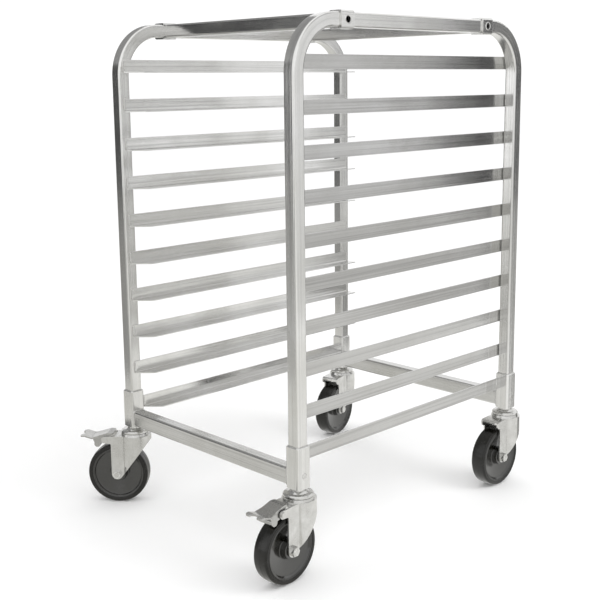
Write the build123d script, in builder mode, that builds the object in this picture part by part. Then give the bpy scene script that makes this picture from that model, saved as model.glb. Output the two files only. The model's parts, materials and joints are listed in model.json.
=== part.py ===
from build123d import *
import os
from math import cos, radians, sin, sqrt

# A bakery rack for sheet pans: two bent tube hoops joined by four crossbars, ten pairs of
# angle runners, and four swivel casters, the front two with brake pedals.
# +X is the rack's right, -Y its open front and +Z up. The origin is on the floor, at the
# middle of the tube frame. All sizes are in millimetres.

# ---- frame ----
FRAME_WIDTH = 514.35
FRAME_DEPTH = 660.4
FRAME_HEIGHT = 985.0
TUBE = 25.4
TUBE_WALL = 1.65
TUBE_CORNER = 3.8
SLEEVE_CORNER = 4.8
BEND_RADIUS = 101.6
FOOT_HEIGHT = 165.1
RAIL_X = (FRAME_WIDTH - TUBE) / 2
POST_Y = (FRAME_DEPTH - TUBE) / 2
INNER_X = FRAME_WIDTH / 2 - TUBE
OUTER_X = FRAME_WIDTH / 2
BORE = TUBE - 2 * TUBE_WALL

# ---- runners ----
TIERS = 10
PITCH = 76.2
TOP_RUNNER = 915.0
RUNNER_LENGTH = 640.0
RUNNER_WEB = 25.4
RUNNER_LEDGE = 31.75
RUNNER_THICK = 2.0
RUNNER_ROOT = 1.2

# ---- heavy sleeves and saddles made from the next tube size up ----
SLEEVE = 31.75
SLEEVE_WALL = (SLEEVE - TUBE) / 2
SLEEVE_LENGTH = 76.2
RIM_CHAMFER = 0.8
SADDLE_LENGTH = 31.75
TOP_BAR_Y = 202.0

# ---- bottom crossbars ----
LOW_BAR_TOP = 200.0
LOW_BAR_HEIGHT = 31.75

# ---- crossbar screws ----
SCREW_RADIUS = 3.0
SCREW_HEAD_RADIUS = 5.0
SCREW_HEAD = 6.0
SCREW_ACCESS = 5.8
SCREW_SHORT = 2.0
INSERT_LENGTH = 20.0
KEY_FLATS = 5.0

# ---- casters ----
WHEEL_RADIUS = 63.5
TYRE_WIDTH = 32.0
TYRE_SEAT = 54.5
TRAIL = 36.0
CORE_WIDTH = 29.0
HUB_WIDTH = 34.0
HUB_RADIUS = 16.0
WEB_HALF = 4.0
DISH_HALF = 10.5
LIP_RADIUS = 51.0
WEB_EDGE = 48.0
WEB_ROOT = 3.0
WEB_DRAFT = 1.0
WEB_SOFT = 1.5
CROWN = 0.8
SHOULDER_ROUND = 4.0
SEAT_BEVEL = 1.2
BUSH_RADIUS = 8.0
RUNNING_FIT = 0.05
PRESS_FIT = 0.01
AXLE_RADIUS = 5.0
LEG_OUTSIDE = 21.5
STEEL = 3.0
LEG_INSIDE = LEG_OUTSIDE - STEEL
HEAD_TOP = 146.0
HEAD_ROUND = 29.5
HEAD_CENTRE = -2.0
HEAD_SPARE = 2.0
HEAD_SKIRT = 8.0
NOSE_OUT = -35.5
NOSE_BACK = 7.0
SHOULDER = 129.5
SHOULDER_SOFT = 3.0
TAIL_TOP = 144.5
TAIL_ROUND = 6.0
ROOF_END = 40.0
BOSS_RADIUS = 11.5
BOSS_LEAN = 38.0
NECK_OUT = 7.0
NECK_HALF = 28.0
NECK_DRAW = 0.7
LEG_START = 17.0
LEG_DRAW = 0.3
TAIL_BRAKED = 67.0
TAIL_PLAIN = 57.0
SLOT_ROUND = 5.0
RACE_TAPER = 12.0
RACE_TOP = 151.0
CAP_BOTTOM = 152.0
CAP_TOP = 158.0
CAP_RADIUS = 28.0
CAP_BEVEL = 1.1
BALL_RADIUS = 3.0
BALL_CIRCLE = 20.0
BALL_COUNT = 12
BALL_FIT = 0.02
BALL_GAP = 0.3
KING_RADIUS = 6.0
RIVET_TOP = HEAD_TOP - STEEL - 0.3
STEM_RADIUS = 7.9
STEM_LENGTH = 58.0
STEM_BEVEL = 1.5
EXPANDER_START = 1.0
EXPANDER_LENGTH = 54.0
COLLAR_RADIUS = 14.5
COLLAR_HEIGHT = 3.5
COLLAR_FLARE = 5.0
RIVET_FLARE = 5.0
RIVET_EDGE = 4.0
RIVET_DEPTH = 5.5
NUT_RADIUS = 8.0
NUT_HEIGHT = 6.5
BOLT_HEAD = 5.5
BOLT_SPARE = 1.5

# ---- brake ----
PIVOT_OUT = 60.0
PIVOT_HEIGHT = 137.5
PIN_RADIUS = 3.0
PIN_HEAD_RADIUS = 5.0
PIN_HEAD = 2.0
PEDAL_START = 43.5
PEDAL_TIP = 112.0
PEDAL_HALF = 20.0
PEDAL_THICK = 3.0
PEDAL_BEND = 4.0
HOOD_TOP = 151.5
HOOD_END = 55.0
NARROW_END = 74.0
FLARE_END = 87.0
DIP_OUT = 88.0
DIP_TOP = 141.5
TREAD_OUT = 104.0
TIP_TOP = 146.5
TIP_DROP = 1.0
TIP_ROUND = 6.0
HEEL_ROUND = 5.0
NOTCH_RADIUS = 9.0
NOTCH_OUT = 114.0
CHEEK_THICK = 2.5
CHEEK_OUTSIDE = LEG_INSIDE - 1.5
CHEEK_POINTS = ((48.5, 150.0), (54.0, 135.5), (62.0, 131.5), (81.0, 125.2), (87.0, 140.0), (55.0, 150.0))
CHEEK_ROUND = 2.0
SHOE_OUT = 77.0
SHOE_HEIGHT = 127.2
SHOE_RADIUS = 6.5
BRAKE_ANGLES = (0, 5, 10, 15)

# Each caster: corner signs, the way its wheel trails in degrees from +X, and whether it has a brake.
CASTERS = {
    "front_left": (-1, -1, -139.0, True),
    "front_right": (1, -1, -88.0, True),
    "rear_left": (-1, 1, -79.0, False),
    "rear_right": (1, 1, -90.0, False),
}


def save(part, name):
    part.label = name
    export_step(part, "parts/" + name + ".step")


def hoop(side, name):
    """One side frame: a square tube bent into an upside-down U, open at both feet."""
    x = side * RAIL_X
    with BuildPart() as frame:
        with BuildLine(Plane.YZ.offset(x)) as path:
            FilletPolyline(
                (-POST_Y, FOOT_HEIGHT),
                (-POST_Y, FRAME_HEIGHT - TUBE / 2),
                (POST_Y, FRAME_HEIGHT - TUBE / 2),
                (POST_Y, FOOT_HEIGHT),
                radius=BEND_RADIUS - TUBE / 2,
            )
        foot = path.wire()
        with BuildSketch(Plane(foot @ 0, x_dir=(1, 0, 0), z_dir=foot % 0)):
            RectangleRounded(TUBE, TUBE, TUBE_CORNER)
            RectangleRounded(BORE, BORE, TUBE_CORNER - TUBE_WALL, mode=Mode.SUBTRACT)
        sweep()
        # A small hole through the inner wall for each crossbar screw, and a wide one outside for its head.
        for y in (-TOP_BAR_Y, TOP_BAR_Y):
            spot = Plane((side * INNER_X, y, FRAME_HEIGHT - TUBE / 2), x_dir=(0, 1, 0), z_dir=(side, 0, 0))
            with BuildSketch(spot):
                Circle(SCREW_RADIUS + RUNNING_FIT)
            extrude(amount=TUBE / 2, mode=Mode.SUBTRACT)
            with BuildSketch(spot.offset(TUBE / 2)):
                Circle(SCREW_ACCESS)
            extrude(amount=TUBE / 2, mode=Mode.SUBTRACT)
    save(frame.part, name)


def runner(side, tier):
    """One angle runner: an upright web against the posts and a ledge that carries the pan's rim."""
    # The lowest pair is level with the corner sleeves, so it is cut to fit between them.
    length = RUNNER_LENGTH if tier < TIERS else 2 * POST_Y - SLEEVE
    top = TOP_RUNNER - PITCH * (tier - 1)
    low = top - RUNNER_WEB
    wall = side * INNER_X
    with BuildPart() as angle:
        with BuildSketch(Plane.XZ.offset(-length / 2)) as section:
            with BuildLine():
                Polyline(
                    (wall, top),
                    (wall, low),
                    (wall - side * RUNNER_LEDGE, low),
                    (wall - side * RUNNER_LEDGE, low + RUNNER_THICK),
                    (wall - side * RUNNER_THICK, low + RUNNER_THICK),
                    (wall - side * RUNNER_THICK, top),
                    close=True,
                )
            make_face()
            corner = (wall - side * RUNNER_THICK, low + RUNNER_THICK)
            inner = section.vertices().sort_by_distance(corner + (0,))[0]
            fillet(inner, RUNNER_ROOT)
        extrude(amount=length)
        # The ledge's front corner is mitred, so that a pan finds its way in.
        root = wall - side * (RUNNER_THICK + RUNNER_ROOT)
        tip = wall - side * RUNNER_LEDGE
        front = -length / 2
        with BuildSketch(Plane.XY.offset(low)):
            with BuildLine():
                Polyline((root, front), (tip, front), (tip, front + abs(tip - root)), close=True)
            make_face()
        extrude(amount=RUNNER_THICK, mode=Mode.SUBTRACT)
    name = "runner_" + ("left" if side < 0 else "right") + f"_{tier:02d}"
    save(angle.part, name)


def top_crossbar(y, name):
    """A square tube between the hoops' top runs, with a threaded insert in each end."""
    length = 2 * INNER_X
    with BuildPart() as bar:
        with BuildSketch(Plane((-INNER_X, y, FRAME_HEIGHT - TUBE / 2), x_dir=(0, 1, 0), z_dir=(1, 0, 0))):
            RectangleRounded(TUBE, TUBE, TUBE_CORNER)
            RectangleRounded(BORE, BORE, TUBE_CORNER - TUBE_WALL, mode=Mode.SUBTRACT)
        extrude(amount=length)
    save(bar.part, name)


def low_crossbar(side, name):
    """A taller tube welded between the corner sleeves, just above the casters."""
    length = 2 * (INNER_X - SLEEVE_WALL)
    centre = (-length / 2, side * POST_Y, LOW_BAR_TOP - LOW_BAR_HEIGHT / 2)
    with BuildPart() as bar:
        with BuildSketch(Plane(centre, x_dir=(0, 1, 0), z_dir=(1, 0, 0))):
            RectangleRounded(TUBE, LOW_BAR_HEIGHT, TUBE_CORNER)
            hollow = LOW_BAR_HEIGHT - 2 * TUBE_WALL
            RectangleRounded(BORE, hollow, TUBE_CORNER - TUBE_WALL, mode=Mode.SUBTRACT)
        extrude(amount=length)
    save(bar.part, name)


def corner_sleeve(x, y, name):
    """A short length of heavier tube welded round the foot of a post, which holds the caster's stem."""
    with BuildPart() as sleeve:
        with BuildSketch(Plane((x, y, FOOT_HEIGHT))):
            RectangleRounded(SLEEVE, SLEEVE, SLEEVE_CORNER)
            RectangleRounded(TUBE, TUBE, TUBE_CORNER, mode=Mode.SUBTRACT)
        extrude(amount=SLEEVE_LENGTH)
        rims = sleeve.edges().group_by(Axis.Z)[-1].filter_by(GeomType.LINE)
        chamfer([edge for edge in rims if edge.length > SLEEVE - 2 * SLEEVE_CORNER - 1], RIM_CHAMFER)
    save(sleeve.part, name)


def corner_places():
    return [(sx, sy) for sx in (-1, 1) for sy in (-1, 1)]


def top_saddles():
    """Three-sided saddles that stiffen the hoops where the crossbars' screws pull on them."""
    reach = TUBE + SLEEVE_WALL
    with BuildPart() as saddles:
        for sx, sy in corner_places():
            middle = sx * (OUTER_X + SLEEVE_WALL - reach / 2)
            front = Plane((middle, sy * TOP_BAR_Y, FRAME_HEIGHT - TUBE / 2), x_dir=(1, 0, 0), z_dir=(0, 1, 0))
            with BuildSketch(front) as section:
                Rectangle(reach, SLEEVE)
                outer = section.vertices().group_by(Axis.X)[-1 if sx > 0 else 0]
                fillet(outer, SLEEVE_CORNER)
                with Locations((-sx * SLEEVE_WALL, 0)):
                    Rectangle(reach, TUBE, mode=Mode.SUBTRACT)
            extrude(amount=SADDLE_LENGTH / 2, both=True)
            centre = (sx * OUTER_X, sy * TOP_BAR_Y, FRAME_HEIGHT - TUBE / 2)
            with BuildSketch(Plane(centre, x_dir=(0, 1, 0), z_dir=(sx, 0, 0))):
                Circle(SCREW_ACCESS)
            extrude(amount=SLEEVE_WALL, mode=Mode.SUBTRACT)
    save(saddles.part, "top_saddles")


def crossbar_inserts():
    """Threaded plugs pressed into the ends of the top crossbars."""
    with BuildPart() as inserts:
        for sx, sy in corner_places():
            end = Plane(
                (sx * INNER_X, sy * TOP_BAR_Y, FRAME_HEIGHT - TUBE / 2), x_dir=(0, 1, 0), z_dir=(-sx, 0, 0)
            )
            with BuildSketch(end):
                RectangleRounded(BORE, BORE, TUBE_CORNER - TUBE_WALL)
                Circle(SCREW_RADIUS, mode=Mode.SUBTRACT)
            extrude(amount=INSERT_LENGTH)
    save(inserts.part, "crossbar_inserts")


def crossbar_screws():
    """Socket-head screws that stand inside the hoops and draw the crossbars against them."""
    with BuildPart() as screws:
        for sx, sy in corner_places():
            seat = Plane(
                (sx * (INNER_X + TUBE_WALL), sy * TOP_BAR_Y, FRAME_HEIGHT - TUBE / 2),
                x_dir=(0, 1, 0),
                z_dir=(sx, 0, 0),
            )
            with BuildSketch(seat):
                Circle(SCREW_HEAD_RADIUS)
            extrude(amount=SCREW_HEAD)
            with BuildSketch(seat.offset(SCREW_HEAD)):
                RegularPolygon(KEY_FLATS / 2, 6, major_radius=False)
            extrude(amount=-SCREW_HEAD / 2, mode=Mode.SUBTRACT)
            with BuildSketch(seat):
                Circle(SCREW_RADIUS)
            extrude(amount=-(TUBE_WALL + INSERT_LENGTH - SCREW_SHORT))
    save(screws.part, "crossbar_screws")


def stem_expanders():
    """Tight square bushings inside the feet of the posts, which grip the caster stems."""
    with BuildPart() as expanders:
        for sx, sy in corner_places():
            with BuildSketch(Plane((sx * RAIL_X, sy * POST_Y, FOOT_HEIGHT + EXPANDER_START))):
                RectangleRounded(BORE, BORE, TUBE_CORNER - TUBE_WALL)
                Circle(STEM_RADIUS, mode=Mode.SUBTRACT)
            extrude(amount=EXPANDER_LENGTH)
    save(expanders.part, "stem_expanders")


def caster_base(sx, sy, heading):
    """A floor plane under the swivel axis whose x points the way the wheel trails."""
    way = (cos(radians(heading)), sin(radians(heading)), 0)
    return Plane((sx * RAIL_X, sy * POST_Y, 0), x_dir=way, z_dir=(0, 0, 1))


def side_plane(base):
    """The caster's own middle plane: x is the trailing way and y is up."""
    return Plane(base.origin, x_dir=base.x_dir, z_dir=-base.y_dir)


def axle_plane(base):
    """The upright plane through the wheel's centre that holds the axle: x is along the axle, y is up."""
    centre = base.origin + base.x_dir * TRAIL + Vector(0, 0, WHEEL_RADIUS)
    return Plane(centre, x_dir=base.y_dir, z_dir=base.x_dir)


def axle_line(base):
    plane = axle_plane(base)
    return Axis(plane.origin, plane.x_dir)


def cross_plane(base, out, height):
    """An upright plane square to the axle, centred in the fork at a place given by reach and height."""
    centre = base.origin + base.x_dir * out + Vector(0, 0, height)
    return Plane(centre, x_dir=base.x_dir, z_dir=-base.y_dir)


def ball_spots(base):
    step = 360 / BALL_COUNT
    ring = base.offset((RACE_TOP + CAP_BOTTOM) / 2)
    return [ring * Plane((BALL_CIRCLE * cos(radians(i * step)), BALL_CIRCLE * sin(radians(i * step)), 0))
            for i in range(BALL_COUNT)]


def stem(base, name):
    """The fixed half of a caster: stem, collar, upper race and the king pin riveted under the fork."""
    swivel = Axis(base.origin, (0, 0, 1))
    profile_plane = side_plane(base)
    with BuildPart() as pin:
        with BuildSketch(profile_plane):
            with BuildLine():
                Polyline(
                    (0, FOOT_HEIGHT + STEM_LENGTH),
                    (STEM_RADIUS - STEM_BEVEL, FOOT_HEIGHT + STEM_LENGTH),
                    (STEM_RADIUS, FOOT_HEIGHT + STEM_LENGTH - STEM_BEVEL),
                    (STEM_RADIUS, FOOT_HEIGHT),
                    (COLLAR_RADIUS, FOOT_HEIGHT),
                    (COLLAR_RADIUS, FOOT_HEIGHT - COLLAR_HEIGHT),
                    (COLLAR_RADIUS + COLLAR_FLARE, CAP_TOP),
                    (CAP_RADIUS - 2 * CAP_BEVEL, CAP_TOP - CAP_BEVEL),
                    (CAP_RADIUS, CAP_TOP - 3 * CAP_BEVEL),
                    (CAP_RADIUS, CAP_BOTTOM),
                    (KING_RADIUS, CAP_BOTTOM),
                    (KING_RADIUS, RIVET_TOP),
                    (KING_RADIUS + RIVET_FLARE, RIVET_TOP),
                    (KING_RADIUS + RIVET_EDGE, RIVET_TOP - RIVET_EDGE),
                    (KING_RADIUS, RIVET_TOP - RIVET_DEPTH),
                    (0, RIVET_TOP - RIVET_DEPTH),
                    close=True,
                )
            make_face()
        revolve(axis=swivel)
        with BuildSketch(profile_plane):
            with Locations((BALL_CIRCLE, (RACE_TOP + CAP_BOTTOM) / 2)):
                Circle(BALL_RADIUS + BALL_FIT)
        revolve(axis=swivel, mode=Mode.SUBTRACT)
    save(pin.part, name)


def fork_side(base, tail):
    """The fork from the side: an axle boss, a leaning leg and a level head with a rounded tail."""
    lean = radians(BOSS_LEAN)
    front_edge = (TRAIL - BOSS_RADIUS * cos(lean), WHEEL_RADIUS - BOSS_RADIUS * sin(lean))
    back_edge = (TRAIL + BOSS_RADIUS, WHEEL_RADIUS)
    with BuildSketch(side_plane(base)) as side:
        with BuildLine():
            RadiusArc(front_edge, back_edge, -BOSS_RADIUS)
            Polyline(
                back_edge,
                (TRAIL + BOSS_RADIUS, SHOULDER),
                (tail, SHOULDER + 1),
                (tail, TAIL_TOP),
                (HEAD_ROUND, HEAD_TOP),
                (NOSE_OUT, HEAD_TOP),
                (NOSE_OUT, HEAD_TOP - HEAD_SKIRT),
                (NOSE_OUT + NOSE_BACK, SHOULDER),
                front_edge,
            )
        make_face()
        fillet(side.vertices().group_by(Axis.X)[-1], TAIL_ROUND)
        fillet(side.vertices().filter_by_position(Axis.Y, SHOULDER - 1, SHOULDER + 0.5), SHOULDER_SOFT)
    return side.sketch


def fork_plan(base, tail, inset):
    """The fork seen from above, drawn in by an inset: a round head that narrows to two flat legs."""
    with BuildSketch(base) as plan:
        with Locations((HEAD_CENTRE, 0)):
            Circle(HEAD_ROUND + HEAD_SPARE - inset)
        with BuildLine():
            Polyline(
                (0, 0),
                (NECK_OUT - NECK_DRAW * inset, NECK_HALF - inset),
                (LEG_START - LEG_DRAW * inset, LEG_OUTSIDE - inset),
                (tail + 5, LEG_OUTSIDE - inset),
                (tail + 5, 0),
                close=True,
            )
        make_face()
        mirror(about=Plane.XZ)
    return plan.sketch


def fork(base, braked, name):
    """A pressed steel fork: a round head that narrows into two legs, open below for the wheel."""
    tail = TAIL_BRAKED if braked else TAIL_PLAIN
    head_floor = base.offset(HEAD_TOP - STEEL)
    with BuildPart() as frame:
        extrude(fork_side(base, tail), amount=HEAD_ROUND + HEAD_SPARE, both=True)
        extrude(fork_plan(base, tail, 0), amount=HEAD_TOP, mode=Mode.INTERSECT)
        extrude(fork_plan(base, tail, STEEL), amount=HEAD_TOP - STEEL, mode=Mode.SUBTRACT)
        if braked:
            # The roof stops short of the tail, so that the pedal can stand between the legs.
            with BuildSketch(base) as slot:
                with Locations((ROOF_END + tail / 2, 0)):
                    Rectangle(tail, 2 * LEG_INSIDE)
                fillet(slot.vertices().group_by(Axis.X)[0], SLOT_ROUND)
            extrude(amount=HEAD_TOP + 1, mode=Mode.SUBTRACT)
        # The lower race stands on the head as a low ring with a groove for the balls.
        with BuildSketch(head_floor):
            Circle(HEAD_ROUND)
        extrude(amount=RACE_TOP - HEAD_TOP + STEEL, taper=RACE_TAPER)
        with BuildSketch(head_floor):
            Circle(KING_RADIUS + RUNNING_FIT)
        extrude(amount=RACE_TOP, mode=Mode.SUBTRACT)
        with BuildSketch(side_plane(base)):
            with Locations((BALL_CIRCLE, (RACE_TOP + CAP_BOTTOM) / 2)):
                Circle(BALL_RADIUS + BALL_GAP)
        revolve(axis=Axis(base.origin, (0, 0, 1)), mode=Mode.SUBTRACT)
        with BuildSketch(cross_plane(base, TRAIL, WHEEL_RADIUS)):
            Circle(AXLE_RADIUS)
        extrude(amount=HEAD_ROUND, both=True, mode=Mode.SUBTRACT)
        if braked:
            with BuildSketch(cross_plane(base, PIVOT_OUT, PIVOT_HEIGHT)):
                Circle(PIN_RADIUS)
            extrude(amount=HEAD_ROUND, both=True, mode=Mode.SUBTRACT)
    save(frame.part, name)


def axle(base, name):
    """The wheel's bolt, its nut, and the steel bush clamped between the fork's legs."""
    middle = cross_plane(base, TRAIL, WHEEL_RADIUS)
    with BuildPart() as bolt:
        with BuildSketch(middle.offset(-LEG_OUTSIDE - NUT_HEIGHT - BOLT_SPARE)):
            Circle(AXLE_RADIUS)
        extrude(amount=2 * LEG_OUTSIDE + NUT_HEIGHT + BOLT_SPARE)
        with BuildSketch(middle.offset(LEG_OUTSIDE)):
            RegularPolygon(NUT_RADIUS, 6, major_radius=False)
        extrude(amount=BOLT_HEAD)
        with BuildSketch(middle.offset(-LEG_INSIDE)):
            Circle(BUSH_RADIUS)
            Circle(AXLE_RADIUS + PRESS_FIT, mode=Mode.SUBTRACT)
        extrude(amount=2 * LEG_INSIDE)
        with BuildSketch(middle.offset(-LEG_OUTSIDE - NUT_HEIGHT)):
            RegularPolygon(NUT_RADIUS, 6, major_radius=False)
            Circle(AXLE_RADIUS + PRESS_FIT, mode=Mode.SUBTRACT)
        extrude(amount=NUT_HEIGHT)
    save(bolt.part, name)


def wheel_core(base, name):
    """The moulded wheel centre: a hub and a lipped rim joined by a web that is dished on both faces."""
    half_hub = HUB_WIDTH / 2
    half_core = CORE_WIDTH / 2
    with BuildPart() as core:
        with BuildSketch(axle_plane(base)) as section:
            with BuildLine():
                Polyline(
                    (half_hub, BUSH_RADIUS + RUNNING_FIT),
                    (half_hub, HUB_RADIUS),
                    (WEB_HALF + WEB_DRAFT, HUB_RADIUS + WEB_ROOT),
                    (DISH_HALF, WEB_EDGE),
                    (half_core, LIP_RADIUS),
                    (half_core, TYRE_SEAT),
                    (0, TYRE_SEAT),
                    (0, BUSH_RADIUS + RUNNING_FIT),
                    close=True,
                )
            make_face()
            bends = section.vertices().filter_by_position(Axis.Y, HUB_RADIUS - 1, LIP_RADIUS + 1)
            fillet(bends, WEB_SOFT)
            mirror(about=Plane.YZ)
        revolve(axis=axle_line(base))
    save(core.part, name)


def tyre(base, name):
    """The solid rubber tyre bonded to the core, with a slightly crowned tread and round shoulders."""
    half = TYRE_WIDTH / 2
    edge = WHEEL_RADIUS - CROWN
    with BuildPart() as tread:
        with BuildSketch(axle_plane(base)) as section:
            with BuildLine():
                ThreePointArc((half, edge), (0, WHEEL_RADIUS), (-half, edge))
                Polyline(
                    (-half, edge),
                    (-half, TYRE_SEAT + SEAT_BEVEL),
                    (-half + SEAT_BEVEL, TYRE_SEAT),
                    (half - SEAT_BEVEL, TYRE_SEAT),
                    (half, TYRE_SEAT + SEAT_BEVEL),
                    (half, edge),
                )
            make_face()
            fillet(section.vertices().group_by(Axis.Y)[-1], SHOULDER_ROUND)
        revolve(axis=axle_line(base))
    save(tread.part, name)


def swivel_balls():
    """The twelve bearing balls of each caster's swivel."""
    with BuildPart() as balls:
        for sx, sy, heading, braked in CASTERS.values():
            with Locations(*ball_spots(caster_base(sx, sy, heading))):
                Sphere(BALL_RADIUS)
    save(balls.part, "swivel_balls")


def brake_pin(base, name):
    """The rivet that the pedal turns on, headed outside both legs."""
    middle = cross_plane(base, PIVOT_OUT, PIVOT_HEIGHT)
    with BuildPart() as pin:
        with BuildSketch(middle):
            Circle(PIN_RADIUS)
        extrude(amount=LEG_OUTSIDE, both=True)
        for side in (-1, 1):
            with BuildSketch(middle.offset(side * LEG_OUTSIDE)):
                Circle(PIN_HEAD_RADIUS)
            extrude(amount=side * PIN_HEAD)
    save(pin.part, name)


def pedal_side(base):
    """The pedal's arm from the side: a hood beside the swivel, a dip, and a tread that lifts at the tip."""
    tops = [
        (PEDAL_START, HOOD_TOP),
        (HOOD_END, HOOD_TOP),
        (DIP_OUT, DIP_TOP),
        (TREAD_OUT, TIP_TOP),
        (PEDAL_TIP, TIP_TOP - TIP_DROP),
    ]
    with BuildSketch(side_plane(base)) as side:
        with BuildLine():
            Polyline(tops + [(out, top - PEDAL_THICK) for out, top in reversed(tops)], close=True)
        make_face()
        bends = side.vertices().filter_by_position(Axis.X, HOOD_END - 1, DIP_OUT + 1)
        fillet(bends, PEDAL_BEND)
    return side.sketch


def pedal_plan(base):
    """The pedal seen from above: narrow between the legs, then flared, with a round notch in the tip."""
    with BuildSketch(base) as plan:
        with BuildLine():
            Polyline(
                (PEDAL_START - 1, 0),
                (PEDAL_START - 1, CHEEK_OUTSIDE),
                (NARROW_END, CHEEK_OUTSIDE),
                (FLARE_END, PEDAL_HALF),
                (PEDAL_TIP + 1, PEDAL_HALF),
                (PEDAL_TIP + 1, 0),
                close=True,
            )
        make_face()
        mirror(about=Plane.XZ)
        tips = plan.vertices().group_by(Axis.X)[-1]
        fillet([tip for tip in tips if abs(tip.Y) > NOTCH_RADIUS], TIP_ROUND)
        inner = plan.vertices().group_by(Axis.X)[0]
        fillet([corner for corner in inner if abs(corner.Y) > 1], HEEL_ROUND)
        with Locations((NOTCH_OUT, 0)):
            Circle(NOTCH_RADIUS, mode=Mode.SUBTRACT)
    return plan.sketch


def pedal_cheek(base, side):
    """A cheek that runs down from the arm to the pin and to the rolled shoe."""
    middle = side_plane(base)
    with BuildSketch(middle.offset(side * (CHEEK_OUTSIDE - CHEEK_THICK / 2))) as cheek:
        with BuildLine():
            Polyline(CHEEK_POINTS, close=True)
        make_face()
        fillet(cheek.vertices().group_by(Axis.Y)[1], CHEEK_ROUND)
    return cheek.sketch


def brake_pedal(base, name):
    """A pressed lever: a knuckle on the pin, a rolled shoe over the tyre and a flared, forked tread."""
    with BuildPart() as pedal:
        extrude(pedal_side(base), amount=PEDAL_HALF + 1, both=True)
        extrude(pedal_plan(base), amount=HOOD_TOP + 1, mode=Mode.INTERSECT)
        for side in (-1, 1):
            extrude(pedal_cheek(base, side), amount=CHEEK_THICK / 2, both=True)
        with BuildSketch(cross_plane(base, SHOE_OUT, SHOE_HEIGHT)):
            Circle(SHOE_RADIUS)
        extrude(amount=CHEEK_OUTSIDE, both=True)
        with BuildSketch(cross_plane(base, PIVOT_OUT, PIVOT_HEIGHT)):
            Circle(PIN_RADIUS + RUNNING_FIT)
        extrude(amount=LEG_OUTSIDE, both=True, mode=Mode.SUBTRACT)
    save(pedal.part, name)


def caster(place):
    sx, sy, heading, braked = CASTERS[place]
    base = caster_base(sx, sy, heading)
    stem(base, "stem_" + place)
    fork(base, braked, "fork_" + place)
    axle(base, "axle_" + place)
    wheel_core(base, "wheel_core_" + place)
    tyre(base, "tyre_" + place)
    if braked:
        brake_pin(base, "brake_pin_" + place)
        brake_pedal(base, "brake_pedal_" + place)


def brake_clearance(angle):
    """The gap between the rolled shoe and the tyre with the pedal pressed down by an angle in degrees."""
    out = SHOE_OUT - PIVOT_OUT
    up = SHOE_HEIGHT - PIVOT_HEIGHT
    turn = radians(angle)
    x = PIVOT_OUT + out * cos(turn) + up * sin(turn) - TRAIL
    z = PIVOT_HEIGHT - out * sin(turn) + up * cos(turn) - WHEEL_RADIUS
    return sqrt(x * x + z * z) - SHOE_RADIUS - WHEEL_RADIUS


def main():
    os.makedirs("parts", exist_ok=True)
    hoop(-1, "left_hoop")
    hoop(1, "right_hoop")
    for tier in range(1, TIERS + 1):
        runner(-1, tier)
        runner(1, tier)
    top_crossbar(-TOP_BAR_Y, "top_front_crossbar")
    top_crossbar(TOP_BAR_Y, "top_rear_crossbar")
    low_crossbar(-1, "bottom_front_crossbar")
    low_crossbar(1, "bottom_rear_crossbar")
    top_saddles()
    crossbar_inserts()
    crossbar_screws()
    stem_expanders()
    swivel_balls()
    for place, (sx, sy, heading, braked) in CASTERS.items():
        corner_sleeve(sx * RAIL_X, sy * POST_Y, "corner_sleeve_" + place)
        caster(place)
    for angle in BRAKE_ANGLES:
        print("brake shoe gap at", angle, "degrees:", round(brake_clearance(angle), 2))


main()
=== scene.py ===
import json
import math

import bmesh
import bpy
from mathutils import Matrix, Vector


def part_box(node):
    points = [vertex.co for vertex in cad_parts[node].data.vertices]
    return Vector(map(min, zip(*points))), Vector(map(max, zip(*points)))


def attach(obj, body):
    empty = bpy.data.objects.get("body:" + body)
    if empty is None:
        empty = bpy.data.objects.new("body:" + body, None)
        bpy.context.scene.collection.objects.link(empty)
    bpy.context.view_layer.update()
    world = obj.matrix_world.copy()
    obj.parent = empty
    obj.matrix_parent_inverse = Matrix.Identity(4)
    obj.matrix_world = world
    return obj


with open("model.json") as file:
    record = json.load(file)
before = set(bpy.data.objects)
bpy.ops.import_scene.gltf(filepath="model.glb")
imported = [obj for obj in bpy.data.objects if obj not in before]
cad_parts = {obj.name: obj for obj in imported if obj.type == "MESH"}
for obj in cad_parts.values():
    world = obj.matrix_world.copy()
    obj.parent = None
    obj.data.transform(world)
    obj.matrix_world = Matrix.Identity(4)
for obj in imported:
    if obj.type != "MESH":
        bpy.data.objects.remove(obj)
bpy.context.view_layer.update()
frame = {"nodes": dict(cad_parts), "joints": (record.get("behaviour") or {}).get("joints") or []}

MM = 0.001
PLACES = ("front_left", "front_right", "rear_left", "rear_right")
BRAKED = ("front_left", "front_right")
TIERS = 10
JOINTS = {joint["name"]: joint for joint in frame["joints"]}


# ---- places read from the frame ----
hoop_low, hoop_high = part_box("right_hoop")
TUBE = hoop_high.x - hoop_low.x
RAIL_X = (hoop_low.x + hoop_high.x) / 2
POST_Y = hoop_high.y - TUBE / 2
FRAME_TOP = hoop_high.z
BEND_RADIUS = 101.6 * MM
BEND_CENTRE_Y = hoop_high.y - BEND_RADIUS
BEND_CENTRE_Z = FRAME_TOP - BEND_RADIUS

# ---- lines in drawn aluminium: noise scales across a section, and how little of it counts lengthwise ----
FINE_LINES = 1100
BANDS = 330
STREAKS = 95
LENGTHWISE = 0.006

# ---- sizes of the small pieces ----
WELD_RADIUS = 1.7 * MM
SLEEVE_WELD_RADIUS = 1.5 * MM
WELD_STEP = 0.9 * MM
WELD_SIDES = 10
CROSSBAR_CORNER = 3.8 * MM
POST_CORNER = 4 * MM
PLUG_HEIGHT = 24 * MM
# From the middle of the wheel, along its axle, to where the nut's collar starts.
COLLAR_START = 28.0 * MM
# Flat sides in a ring round a wheel.
WHEEL_SIDES = 160

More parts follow.
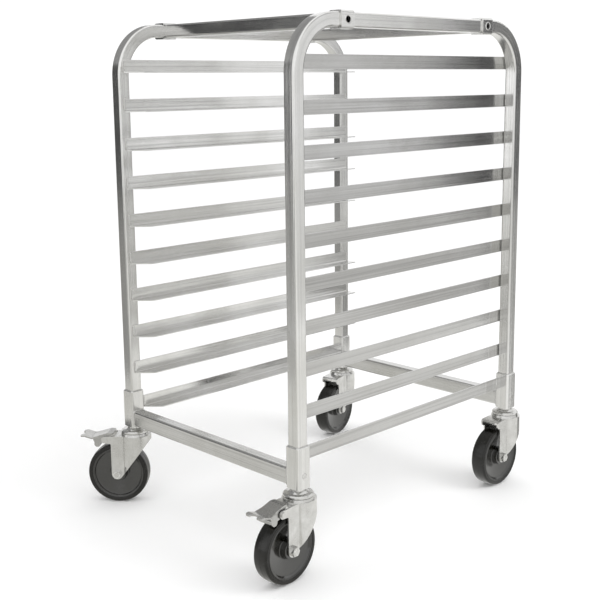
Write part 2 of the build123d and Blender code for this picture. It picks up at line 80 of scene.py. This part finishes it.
# ---- sizes of the studio ----
CARD_RADIUS = 6.0
CARD_STEPS = 12
FLOOR_HALF = 60.0
FLOOR_CARD_LIFT = 0.2 * MM
FLOOR_FAN_LIFT = 0.4 * MM
SKY_STRENGTH = 1.08


# ---- shader building ----
class Shader:
    """A material being built: one Principled surface and short ways to add nodes to it."""

    def __init__(self, name):
        self.material = bpy.data.materials.new(name)
        self.material.use_nodes = True
        self.tree = self.material.node_tree
        self.tree.nodes.clear()
        self.surface = self.tree.nodes.new("ShaderNodeBsdfPrincipled")
        output = self.tree.nodes.new("ShaderNodeOutputMaterial")
        self.link(self.surface.outputs[0], output.inputs["Surface"])
        self.place = self.tree.nodes.new("ShaderNodeTexCoord").outputs["Object"]

    def link(self, source, target):
        """Joins a socket to a target socket, or sets the target to a plain value."""
        if isinstance(source, bpy.types.NodeSocket):
            self.tree.links.new(source, target)
        else:
            target.default_value = source

    def set(self, **values):
        for name, value in values.items():
            socket = self.surface.inputs[name.replace("_", " ").title().replace("Ior", "IOR")]
            self.link(value, socket)

    def math(self, operation, first, second=0.0):
        node = self.tree.nodes.new("ShaderNodeMath")
        node.operation = operation
        self.link(first, node.inputs[0])
        self.link(second, node.inputs[1])
        return node.outputs[0]

    def split(self, vector):
        node = self.tree.nodes.new("ShaderNodeSeparateXYZ")
        self.link(vector, node.inputs[0])
        return node.outputs

    def join(self, x, y, z):
        node = self.tree.nodes.new("ShaderNodeCombineXYZ")
        for value, socket in zip((x, y, z), node.inputs):
            self.link(value, socket)
        return node.outputs[0]

    def stretch(self, vector, scale, location=(0, 0, 0), rotation=(0, 0, 0)):
        node = self.tree.nodes.new("ShaderNodeMapping")
        self.link(vector, node.inputs["Vector"])
        node.inputs["Scale"].default_value = scale
        node.inputs["Location"].default_value = location
        node.inputs["Rotation"].default_value = rotation
        return node.outputs[0]

    def noise(self, vector, scale, detail=4.0, rough=0.55):
        node = self.tree.nodes.new("ShaderNodeTexNoise")
        self.link(vector, node.inputs["Vector"])
        node.inputs["Scale"].default_value = scale
        node.inputs["Detail"].default_value = detail
        node.inputs["Roughness"].default_value = rough
        return node.outputs[0]

    def ramp(self, value, low, high, start=0.3, end=0.7):
        """A value carried from the range start to end onto the range low to high, held at both ends."""
        node = self.tree.nodes.new("ShaderNodeMapRange")
        self.link(value, node.inputs["Value"])
        for name, number in (("From Min", start), ("From Max", end), ("To Min", low), ("To Max", high)):
            node.inputs[name].default_value = number
        return node.outputs[0]

    def mix(self, share, first, second):
        node = self.tree.nodes.new("ShaderNodeMix")
        node.data_type = "RGBA"
        self.link(share, node.inputs[0])
        self.link(first, node.inputs[6])
        self.link(second, node.inputs[7])
        return node.outputs[2]

    def bump(self, height, distance, strength):
        node = self.tree.nodes.new("ShaderNodeBump")
        self.link(height, node.inputs["Height"])
        node.inputs["Distance"].default_value = distance
        node.inputs["Strength"].default_value = strength
        return node.outputs[0]

    def edges(self, radius):
        """Near 1 where the surface turns sharply within the radius, and 0 on the flats."""
        bevel = self.tree.nodes.new("ShaderNodeBevel")
        bevel.samples = 4
        bevel.inputs["Radius"].default_value = radius
        geometry = self.tree.nodes.new("ShaderNodeNewGeometry")
        dot = self.tree.nodes.new("ShaderNodeVectorMath")
        dot.operation = "DOT_PRODUCT"
        self.link(bevel.outputs[0], dot.inputs[0])
        self.link(geometry.outputs["Normal"], dot.inputs[1])
        return self.ramp(dot.outputs["Value"], 1.0, 0.0, 0.75, 0.99)


def grey(value, warm=0.0):
    """A grey, drawn towards straw by a small share."""
    return (value, value * (1 - 0.2 * warm), value * (1 - 1.3 * warm), 1)


# ---- materials ----
def along_axis(shader, axis):
    """Object coordinates squeezed so that noise drawn on them runs in lines along one axis."""
    scale = [1.0, 1.0, 1.0]
    scale["XYZ".index(axis)] = LENGTHWISE
    return shader.stretch(shader.place, scale)


def along_hoop(shader):
    """Coordinates that follow the bent tube: two across it, and a slow third along it."""
    x, y, z = shader.split(shader.place)
    beyond_y = shader.math("MAXIMUM", shader.math("SUBTRACT", shader.math("ABSOLUTE", y), BEND_CENTRE_Y), 0)
    beyond_z = shader.math("MAXIMUM", shader.math("SUBTRACT", z, BEND_CENTRE_Z), 0)
    reach = shader.math("POWER", beyond_y, 2)
    rise = shader.math("POWER", beyond_z, 2)
    offset = shader.math("SQRT", shader.math("ADD", reach, rise))
    slow = shader.math("MULTIPLY", shader.math("ADD", y, z), LENGTHWISE)
    return shader.join(x, offset, slow)


def aluminium(name, grain_place, tone, rough, contrast):
    """Mill-finished aluminium with drawn lines along the section, cloudy oxide and brighter edges."""
    shader = Shader(name)
    grain = grain_place(shader)
    lines = shader.noise(grain, FINE_LINES, 3, 0.6)
    bands = shader.noise(grain, BANDS, 2, 0.5)
    streaks = shader.noise(grain, STREAKS, 2, 0.5)
    clouds = shader.noise(shader.place, 6, 5, 0.6)
    specks = shader.noise(shader.place, 260, 3, 0.7)
    edge = shader.edges(1.4 * MM)
    base = shader.mix(shader.ramp(clouds, 0, 1), grey(tone, 0.006), grey(tone * 0.86, 0.03))
    drawn = shader.mix(shader.ramp(streaks, 0, 0.5 * contrast), base, grey(tone * 0.66, 0.015))
    lined = shader.mix(shader.ramp(bands, 0, 0.6 * contrast, 0.48, 0.7), drawn, grey(tone * 0.60, 0.015))
    marked = shader.mix(shader.ramp(specks, 0, 0.4, 0.64, 0.8), lined, grey(tone * 0.6, 0.03))
    worn = shader.mix(shader.math("MULTIPLY", edge, 0.75), marked, grey(0.93))
    dull = shader.ramp(clouds, rough - 0.04, rough + 0.08)
    brushed = shader.math("ADD", dull, shader.ramp(lines, -0.04, 0.06))
    # Sawn ends and rubbed corners are rougher than the drawn faces.
    uneven = shader.math("ADD", brushed, shader.math("MULTIPLY", edge, 0.35))
    height = shader.math("ADD", lines, shader.math("MULTIPLY", bands, 2.2))
    shader.set(base_color=worn, metallic=1.0, roughness=uneven, normal=shader.bump(height, 0.045 * MM, 0.9))
    return shader.material


def zinc(name, tone):
    """Bright zinc plate on pressed steel: cloudy crystals, a few fine scratches and polished edges."""
    shader = Shader(name)
    clouds = shader.noise(shader.place, 45, 5, 0.65)
    crystals = shader.noise(shader.place, 420, 3, 0.6)
    scratched = shader.stretch(shader.place, (1, 0.9, 0.03), rotation=(0.5, 0.3, 0.2))
    scratches = shader.noise(scratched, 700, 2, 0.5)
    edge = shader.edges(1.0 * MM)
    base = shader.mix(shader.ramp(clouds, 0, 1), grey(tone, 0.015), grey(tone * 0.80, 0.03))
    marked = shader.mix(shader.ramp(scratches, 0, 0.6, 0.6, 0.75), base, grey(tone * 0.70, 0.02))
    worn = shader.mix(shader.math("MULTIPLY", edge, 0.7), marked, grey(0.92))
    uneven = shader.math("ADD", shader.ramp(clouds, 0.14, 0.30), shader.ramp(crystals, -0.03, 0.05))
    shader.set(base_color=worn, metallic=1.0, roughness=uneven, normal=shader.bump(crystals, 0.05 * MM, 0.35))
    return shader.material


def polished_steel(name):
    """Hard bright steel with faint turning lines."""
    shader = Shader(name)
    lines = shader.noise(shader.stretch(shader.place, (1, 1, 0.05)), 900, 2)
    shader.set(
        base_color=shader.mix(shader.ramp(lines, 0, 1), grey(0.66), grey(0.55, 0.01)),
        metallic=1.0,
        roughness=shader.ramp(lines, 0.16, 0.28),
        normal=shader.bump(lines, 0.01 * MM, 0.6),
    )
    return shader.material


def wheel_place(shader, place):
    """A wheel's own coordinates: x and y across its face and z along the axle, from its centre."""
    joint = JOINTS["wheel_spin_" + place]
    centre, axis = Vector(joint["pos_m"]), Vector(joint["axis"])
    turn = axis.to_track_quat("Z", "Y").inverted().to_euler()
    moved = turn.to_matrix() @ -centre
    return shader.stretch(shader.place, (1, 1, 1), moved, turn)


def moulded(name, place, tone, rough, ring_depth, dust, gloss):
    """Dark moulded rubber or plastic with faint turned rings, scuffs, a little pale dust and an olive tint
    that is painted reflection.
    """
    shader = Shader(name)
    local = wheel_place(shader, place)
    x, y, z = shader.split(local)
    out = shader.math("SQRT", shader.math("ADD", shader.math("POWER", x, 2), shader.math("POWER", y, 2)))
    rings = shader.noise(shader.join(out, z, 0.0), 600, 2)
    scuffs = shader.noise(local, 90, 6, 0.7)
    grain = shader.noise(local, 1500, 2)
    haze = shader.ramp(scuffs, 0, dust, 0.56, 0.8)
    # The olive tint (warm share 0.2) of the near-black base is painted reflection of a warm floor; the
    # near-black tone itself is the plastic's own.
    base = shader.mix(haze, grey(tone, 0.2), grey(0.12, 0.04))
    dull = shader.ramp(scuffs, rough - 0.04, rough + 0.12)
    uneven = shader.math("ADD", dull, shader.ramp(grain, -0.02, 0.03))
    height = shader.math("ADD", rings, shader.math("MULTIPLY", grain, 0.4))
    shader.set(base_color=base, roughness=uneven, normal=shader.bump(height, ring_depth, 0.4))
    shader.set(specular_ior_level=gloss, coat_weight=gloss * 0.5, coat_roughness=0.08)
    return shader.material


def nylon(name):
    """Off-white moulded nylon, dulled by handling."""
    shader = Shader(name)
    cloud = shader.noise(shader.place, 300, 3)
    shader.set(
        base_color=shader.mix(shader.ramp(cloud, 0, 1), grey(0.62, 0.03), grey(0.48, 0.06)),
        roughness=shader.ramp(cloud, 0.35, 0.55),
        normal=shader.bump(cloud, 0.05 * MM, 0.4),
    )
    return shader.material


def weld_metal(name):
    """Bright cast weld metal with fine ripples and sooty hollows."""
    shader = Shader(name)
    cloud = shader.noise(shader.place, 500, 4, 0.6)
    fine = shader.noise(shader.place, 2500, 2)
    shader.set(
        base_color=shader.mix(shader.ramp(cloud, 0, 1), grey(0.80, 0.01), grey(0.50, 0.04)),
        metallic=1.0,
        roughness=shader.ramp(cloud, 0.28, 0.48),
        normal=shader.bump(fine, 0.04 * MM, 0.5),
    )
    return shader.material


def floor_paper(name):
    """Matt white backdrop paper with a faint fibre."""
    shader = Shader(name)
    fibre = shader.noise(shader.place, 40, 4)
    shader.set(
        base_color=shader.mix(fibre, grey(0.96), grey(0.95)),
        roughness=0.85,
        normal=shader.bump(fibre, 0.1 * MM, 0.2),
        specular_ior_level=0.1,
    )
    return shader.material


def paint(obj, material):
    obj.data.materials.clear()
    obj.data.materials.append(material)


def finish_of(node):
    return frame["nodes"][node].data.materials[0]


# ---- finishes of the CAD nodes ----
def dress_frame():
    """Drawn aluminium on the hoops, runners, crossbars, sleeves and saddles, with painted shade in the right
    runners' darker tone.
    """
    nodes = frame["nodes"]
    bent = aluminium("hoop_aluminium", along_hoop, 0.84, 0.15, 0.55)
    left = aluminium("left_runner_aluminium", lambda shader: along_axis(shader, "Y"), 0.86, 0.12, 0.8)
    # The right runners are the same extrusion as the left ones, but get a darker tone (0.62 against 0.86):
    # painted shade on their outer faces.
    right = aluminium("right_runner_aluminium_painted_shade", lambda shader: along_axis(shader, "Y"), 0.62, 0.11, 1.0)
    across = aluminium("crossbar_aluminium", lambda shader: along_axis(shader, "X"), 0.70, 0.15, 0.7)
    upright = aluminium("sleeve_aluminium", lambda shader: along_axis(shader, "Z"), 0.84, 0.17, 0.55)
    for side, runner in (("left", left), ("right", right)):
        paint(nodes[side + "_hoop"], bent)
        for tier in range(1, TIERS + 1):
            paint(nodes[f"runner_{side}_{tier:02d}"], runner)
    for name in ("top_front", "top_rear", "bottom_front", "bottom_rear"):
        paint(nodes[name + "_crossbar"], across)
    for place in PLACES:
        paint(nodes["corner_sleeve_" + place], upright)
    paint(nodes["top_saddles"], left)


def dress_fittings():
    """Zinc plate and bright steel on the casters' metal and on the fasteners."""
    nodes = frame["nodes"]
    plated = zinc("zinc_plate", 0.70)
    pressed = zinc("pedal_zinc", 0.52)
    bright = polished_steel("bright_steel")
    for name in ("crossbar_screws", "swivel_balls"):
        paint(nodes[name], bright)
    for name in ("crossbar_inserts", "stem_expanders"):
        paint(nodes[name], plated)
    for place in PLACES:
        for name in ("stem_", "fork_", "axle_"):
            paint(nodes[name + place], plated)
    for place in BRAKED:
        paint(nodes["brake_pin_" + place], plated)
        paint(nodes["brake_pedal_" + place], pressed)


def dress_wheels():
    """Glossy black plastic cores and duller black tyres, each with rings about its own axle."""
    nodes = frame["nodes"]
    for place in PLACES:
        core = moulded("core_" + place, place, 0.009, 0.11, 0.02 * MM, 0.15, 0.9)
        tyre = moulded("tyre_" + place, place, 0.006, 0.18, 0.03 * MM, 0.12, 0.36)
        paint(nodes["wheel_core_" + place], core)
        paint(nodes["tyre_" + place], tyre)


# ---- mesh building ----
def square_to(axis):
    """Two directions at right angles to an axis and to each other."""
    side = axis.orthogonal().normalized()
    return side, axis.cross(side)


def in_metres(outline):
    return [(radius * MM, along * MM) for radius, along in outline]


def walk(points, step, closed=False):
    """Points evenly spaced along a polyline, close to a step apart, without the last one if it is closed."""
    corners = [Vector(point) for point in points]
    if closed:
        corners.append(corners[0])
    path = []
    for start, end in zip(corners, corners[1:]):
        count = max(1, round((end - start).length / step))
        path += [start.lerp(end, i / count) for i in range(count)]
    return path if closed else path + [corners[-1]]


def bridge(sheet, ring, following):
    """Joins two rings of vertices with quads, starting each ring at the vertices that lie nearest."""
    count = len(ring)
    shift = min(range(count), key=lambda k: (following[k].co - ring[0].co).length)
    for k in range(count):
        nearby = (following[(k + 1 + shift) % count], following[(k + shift) % count])
        sheet.faces.new((ring[k], ring[(k + 1) % count], *nearby))


def bead(sheet, points, radius, closed=False):
    """A weld bead: a round ridge along a path, swollen in overlapping ripples as a welder lays it."""
    path = walk(points, WELD_STEP, closed)
    turns = [math.tau * k / WELD_SIDES for k in range(WELD_SIDES)]
    rings = []
    for i, spot in enumerate(path):
        after = path[(i + 1) % len(path)] if closed or i + 1 < len(path) else spot
        before = path[i - 1] if closed or i > 0 else spot
        side, other = square_to((after - before).normalized())
        ripple = 1 + 0.16 * abs(math.sin(i * 0.9)) + 0.08 * math.sin(i * 0.37 + spot.z * 900)
        taper = 1.0 if closed else min(1.0, 0.35 + 0.3 * min(i, len(path) - 1 - i))
        reach = radius * ripple * taper
        ring = [spot + (side * math.cos(turn) + other * math.sin(turn)) * reach for turn in turns]
        rings.append([sheet.verts.new(point) for point in ring])
    pairs = list(zip(rings, rings[1:])) + ([(rings[-1], rings[0])] if closed else [])
    for ring, following in pairs:
        bridge(sheet, ring, following)
    if not closed:
        sheet.faces.new(rings[0][::-1])
        sheet.faces.new(rings[-1])


def spun(sheet, centre, axis, outline, count=48):
    """A ring turned from a closed outline of (radius, distance along the axis) pairs."""
    axis = Vector(axis).normalized()
    side, other = square_to(axis)
    rings = []
    for k in range(count):
        turn = math.tau * k / count
        out = side * math.cos(turn) + other * math.sin(turn)
        ring = [Vector(centre) + out * radius + axis * along for radius, along in outline]
        rings.append([sheet.verts.new(point) for point in ring])
    for k in range(count):
        ring, following = rings[k], rings[(k + 1) % count]
        for j in range(len(outline)):
            after = (j + 1) % len(outline)
            sheet.faces.new((ring[j], following[j], following[after], ring[after]))


def button(sheet, centre, axis, outline, count=36):
    """A solid turned from an open outline that starts and ends on the axis."""
    axis = Vector(axis).normalized()
    side, other = square_to(axis)
    first = sheet.verts.new(Vector(centre) + axis * outline[0][1])
    last = sheet.verts.new(Vector(centre) + axis * outline[-1][1])
    rings = []
    for radius, along in outline[1:-1]:
        ring = []
        for k in range(count):
            turn = math.tau * k / count
            out = side * math.cos(turn) + other * math.sin(turn)
            ring.append(sheet.verts.new(Vector(centre) + out * radius + axis * along))
        rings.append(ring)
    for k in range(count):
        after = (k + 1) % count
        sheet.faces.new((first, rings[0][after], rings[0][k]))
        sheet.faces.new((last, rings[-1][k], rings[-1][after]))
        for ring, following in zip(rings, rings[1:]):
            sheet.faces.new((ring[k], ring[after], following[after], following[k]))


def square_loop(centre, across, up, half_across, half_up, corner):
    """The corners of a loop round a rounded rectangular tube, with each corner cut by short steps."""
    loop = []
    for sign_a, sign_b, start in ((1, 1, 0), (-1, 1, 90), (-1, -1, 180), (1, -1, 270)):
        for step in range(4):
            turn = math.radians(start + 30 * step)
            a = sign_a * (half_across - corner) + corner * math.cos(turn)
            b = sign_b * (half_up - corner) + corner * math.sin(turn)
            loop.append(Vector(centre) + Vector(across) * a + Vector(up) * b)
    return loop


def add_piece(name, sheet, body, material):
    """Finishes a mesh as a smooth shaded piece that rides on a body."""
    mesh = bpy.data.meshes.new(name)
    bmesh.ops.recalc_face_normals(sheet, faces=sheet.faces)
    sheet.to_mesh(mesh)
    sheet.free()
    mesh.shade_smooth()
    obj = bpy.data.objects.new(name, mesh)
    bpy.context.collection.objects.link(obj)
    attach(obj, body)
    paint(obj, material)


# ---- small pieces on the frame ----
def weld_runners(side, material):
    """The upright bead at each end of each runner, where its web meets the post."""
    sheet = bmesh.new()
    for tier in range(1, TIERS + 1):
        low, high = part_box(f"runner_{side}_{tier:02d}")
        wall = high.x if side == "right" else low.x
        inward = -1 if side == "right" else 1
        x = wall + inward * 0.6 * MM
        for end, out in ((low.y, -1), (high.y, 1)):
            y = end + out * 0.3 * MM
            bead(sheet, [(x, y, low.z + 2.5 * MM), (x, y, high.z - 1 * MM)], WELD_RADIUS)
    add_piece("weld_runners_" + side, sheet, "frame", material)


def weld_low_crossbar(place, material):
    """The loop of weld round each end of a bottom crossbar, where it meets the corner sleeves."""
    low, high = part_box("bottom_" + place + "_crossbar")
    centre = (low + high) / 2
    half = (high - low) / 2
    sheet = bmesh.new()
    for x in (low.x + 0.3 * MM, high.x - 0.3 * MM):
        loop = square_loop((x, centre.y, centre.z), (0, 1, 0), (0, 0, 1), half.y, half.z, CROSSBAR_CORNER)
        bead(sheet, loop, WELD_RADIUS, True)
    add_piece("weld_crossbar_" + place, sheet, "frame", material)


def weld_sleeves(material):
    """The loop of weld round each post on the top rim of its corner sleeve."""
    sheet = bmesh.new()
    half = TUBE / 2 + 0.5 * MM
    for place in PLACES:
        low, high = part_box("corner_sleeve_" + place)
        centre = ((low.x + high.x) / 2, (low.y + high.y) / 2, high.z - 0.2 * MM)
        loop = square_loop(centre, (1, 0, 0), (0, 1, 0), half, half, POST_CORNER)
        bead(sheet, loop, SLEEVE_WELD_RADIUS, True)
    add_piece("weld_sleeves", sheet, "frame", material)


def sleeve_plugs(material):
    """A low round plug weld on the outer face of each corner sleeve, level with the caster's stem."""
    sheet = bmesh.new()
    mound = in_metres(((0, -0.4), (5.4, -0.4), (5.4, 0.25), (4.6, 0.75), (3.6, 0.55), (2.0, 0.9), (0, 1.0)))
    for place in PLACES:
        low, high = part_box("corner_sleeve_" + place)
        outward = 1 if "right" in place else -1
        x = high.x if outward > 0 else low.x
        button(sheet, (x, (low.y + high.y) / 2, low.z + PLUG_HEIGHT), (outward, 0, 0), mound)
    add_piece("sleeve_plugs", sheet, "frame", material)


def saddle_rims(material):
    """A low rolled rim round the screw hole in each saddle's outer face."""
    sheet = bmesh.new()
    low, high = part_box("top_saddles")
    lip = in_metres(((5.8, -0.3), (5.9, 0.6), (6.6, 1.0), (7.6, 0.7), (8.4, -0.2)))
    bars = ("top_front_crossbar", "top_rear_crossbar")
    bar_y = [sum(corner.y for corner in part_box(bar)) / 2 for bar in bars]
    for x, outward in ((low.x, -1), (high.x, 1)):
        for y in bar_y:
            spun(sheet, (x, y, FRAME_TOP - TUBE / 2), (outward, 0, 0), lip)
    add_piece("saddle_rims", sheet, "frame", material)


# ---- small pieces on the casters ----
def nut_collar(place, centre, axis, material):
    """The lock nut's nylon collar. The nut stands outside the leg on the side that the axis points to."""
    sheet = bmesh.new()
    ring = in_metres(((5.1, 0.0), (7.2, 0.0), (7.3, 0.8), (6.6, 1.6), (5.4, 1.7), (5.1, 1.2)))
    spun(sheet, centre + axis * COLLAR_START, axis, ring)
    add_piece("nut_collar_" + place, sheet, "swivel_" + place, material)


def tyre_rings(place, centre, axis, material):
    """The mould seam round a tyre's tread and two fine raised rings on each of its sides."""
    sheet = bmesh.new()
    seam = in_metres(((63.3, -0.5), (63.75, -0.3), (63.75, 0.3), (63.3, 0.5)))
    spun(sheet, centre, axis, seam, WHEEL_SIDES)
    for side in (-1, 1):
        for radius in (57.6, 60.2):
            lip = in_metres(((radius - 0.5, 15.7), (radius, 16.25), (radius + 0.5, 15.7)))
            spun(sheet, centre, axis * side, lip, WHEEL_SIDES)
    add_piece("tyre_rings_" + place, sheet, "wheel_" + place, material)


def rim_bead(place, centre, axis, material):
    """The rounded bead at the edge of each face of a wheel core, just inside the tyre."""
    sheet = bmesh.new()
    rim = in_metres(((51.6, 14.2), (51.9, 15.1), (52.6, 15.6), (53.4, 15.5), (54.0, 14.9), (54.2, 14.2)))
    for side in (-1, 1):
        spun(sheet, centre, axis * side, rim, WHEEL_SIDES)
    add_piece("rim_bead_" + place, sheet, "wheel_" + place, material)


def add_details():
    """All the small pieces that are added on top of the CAD nodes."""
    weld = weld_metal("weld_metal")
    collar = nylon("collar_nylon")
    for side in ("left", "right"):
        weld_runners(side, weld)
    for place in ("front", "rear"):
        weld_low_crossbar(place, weld)
    weld_sleeves(weld)
    sleeve_plugs(weld)
    saddle_rims(finish_of("top_saddles"))
    for place in PLACES:
        joint = JOINTS["wheel_spin_" + place]
        centre, axis = Vector(joint["pos_m"]), Vector(joint["axis"]).normalized()
        nut_collar(place, centre, axis, collar)
        tyre_rings(place, centre, axis, finish_of("tyre_" + place))
        rim_bead(place, centre, axis, finish_of("wheel_core_" + place))


# ---- studio ----
def stage_sheet(name, sheet):
    """Finishes a mesh as a part of the studio."""
    mesh = bpy.data.meshes.new(name)
    sheet.to_mesh(mesh)
    sheet.free()
    obj = bpy.data.objects.new(name, mesh)
    bpy.context.collection.objects.link(obj)
    return obj


def floor():
    sheet = bmesh.new()
    bmesh.ops.create_grid(sheet, x_segments=1, y_segments=1, size=FLOOR_HALF)
    paint(stage_sheet("floor", sheet), floor_paper("floor_paper"))


def reflected_only(obj, tone, warm=0.0):
    """Makes a sheet glow at one grey tone and show only in reflections, as a studio card out of shot does."""
    shader = Shader(obj.name + "_card")
    weave = shader.noise(shader.place, 1.5, 2)
    glow = shader.mix(weave, grey(tone, warm), grey(tone * 1.2, warm))
    shader.set(base_color=grey(0.0), roughness=1.0, specular_ior_level=0.0)
    shader.set(emission_color=glow, emission_strength=1.0)
    paint(obj, shader.material)
    for ray in ("camera", "diffuse", "shadow", "transmission", "volume_scatter"):
        setattr(obj, "visible_" + ray, False)


def card(name, start, end, foot, high, tone):
    """A curved card far round the rack, from foot to high. Start and end are degrees round from +X."""
    sheet = bmesh.new()
    columns = []
    for i in range(CARD_STEPS + 1):
        turn = math.radians(start + (end - start) * i / CARD_STEPS)
        x, y = CARD_RADIUS * math.cos(turn), CARD_RADIUS * math.sin(turn)
        columns.append((sheet.verts.new((x, y, foot)), sheet.verts.new((x, y, high))))
    for (a, b), (c, d) in zip(columns, columns[1:]):
        sheet.faces.new((a, b, d, c))
    reflected_only(stage_sheet(name, sheet), tone)


def floor_card(name, side, near, far, tone, warm):
    """A grey strip on the floor that runs across a direction, from near to far along it."""
    sheet = bmesh.new()
    ahead = Vector(side).normalized()
    along = Vector((-ahead.y, ahead.x, 0)) * 2 * CARD_RADIUS
    lift = Vector((0, 0, FLOOR_CARD_LIFT))
    corners = (along + ahead * near, along + ahead * far, ahead * far - along, ahead * near - along)
    sheet.faces.new([sheet.verts.new(corner + lift) for corner in corners])
    reflected_only(stage_sheet(name, sheet), tone, warm)


def floor_fan(name, apex, start, end, tone):
    """A grey wedge on the floor that opens from its apex. Start and end are degrees round from +X."""
    sheet = bmesh.new()
    corners = [Vector((*apex, FLOOR_FAN_LIFT))]
    for angle in (start, (start + end) / 2, end):
        turn = math.radians(angle)
        corners.append(corners[0] + Vector((math.cos(turn), math.sin(turn), 0)) * 2 * CARD_RADIUS)
    sheet.faces.new([sheet.verts.new(corner) for corner in corners])
    reflected_only(stage_sheet(name, sheet), tone, 0.02)


def area_light(name, centre, size, power):
    """A square lamp that faces the middle of the rack."""
    light = bpy.data.lights.new(name, "AREA")
    light.shape = "RECTANGLE"
    light.size = size
    light.size_y = size
    light.energy = power
    obj = bpy.data.objects.new(name, light)
    bpy.context.collection.objects.link(obj)
    obj.location = centre
    middle = Vector((0, 0, 0.5))
    obj.rotation_euler = (middle - Vector(centre)).to_track_quat("-Z", "Y").to_euler()
    obj.visible_camera = False
    # Polished metal mirrors only the cards and the sky, so the lamps leave no sparks on it.
    obj.visible_glossy = False


def sky():
    world = bpy.data.worlds.new("studio")
    world.use_nodes = True
    background = world.node_tree.nodes["Background"]
    background.inputs["Color"].default_value = (1, 1, 1, 1)
    background.inputs["Strength"].default_value = SKY_STRENGTH
    bpy.context.scene.world = world


def studio():
    """A white sky and floor, two soft lamps, and the grey cards that the bright metal mirrors."""
    sky()
    floor()
    area_light("key", (2.6, 1.4, 2.8), 1.6, 30)
    area_light("fill", (2.4, -2.8, 1.8), 1.4, 14)
    card("front_left", -176, -128.5, 0, 2.4, 0.07)
    card("left_high", -215, -128.5, 2.4, 12.0, 0.30)
    card("front", -128.5, -110, 0, 2.4, 1.15)
    card("front_right", -110, -80, 0, 2.0, 0.9)
    card("right", 12, 32, 0, 1.6, 0.72)
    card("right_bright", 32, 51, 0, 2.2, 0.82)
    card("right_high", 12, 51, 2.2, 7.0, 0.5)
    card("rear_right", 51, 72, 0, 2.4, 0.10)
    card("rear", 72, 95, 0, 1.6, 0.5)
    floor_card("floor_front_near", (-1, -1, 0), 0.0, 1.25, 0.68, 0.04)
    floor_card("floor_front_far", (-1, -1, 0), 1.3, 12.0, 0.30, 0.03)
    floor_card("floor_rear_near", (1, 1, 0), 0.0, 2.0, 0.90, 0.02)
    floor_card("floor_rear_far", (1, 1, 0), 2.0, 12.0, 0.70, 0.02)
    floor_fan("floor_front_fan", (-0.85, -1.35), -125, -100, 0.95)
    floor_fan("floor_rear_fan", (RAIL_X, POST_Y), 55, 80, 0.22)
    bpy.context.scene.view_settings.view_transform = "Standard"


# ---- camera ----
def camera():
    """A three-quarter view from the rack's front right, from a little below the height of its top."""
    place = (1.4804, -1.5237, 0.8684)
    azimuth, pitch, roll = (math.radians(value) for value in (45.46, 10.31, 0.626))
    reach = math.cos(pitch)
    forward = Vector((-math.sin(azimuth) * reach, math.cos(azimuth) * reach, -math.sin(pitch)))
    level = Vector((math.cos(azimuth), math.sin(azimuth), 0))
    down = forward.cross(level)
    right = level * math.cos(roll) + down * math.sin(roll)
    up = right.cross(forward)
    data = bpy.data.cameras.new("camera")
    data.sensor_width = 36
    data.lens = 62.0
    data.shift_y = -0.05
    obj = bpy.data.objects.new("camera", data)
    bpy.context.collection.objects.link(obj)
    turn = Matrix((right, up, -forward)).transposed().to_4x4()
    obj.matrix_world = Matrix.Translation(place) @ turn
    bpy.context.scene.camera = obj


camera()
studio()
dress_frame()
dress_fittings()
dress_wheels()
add_details()
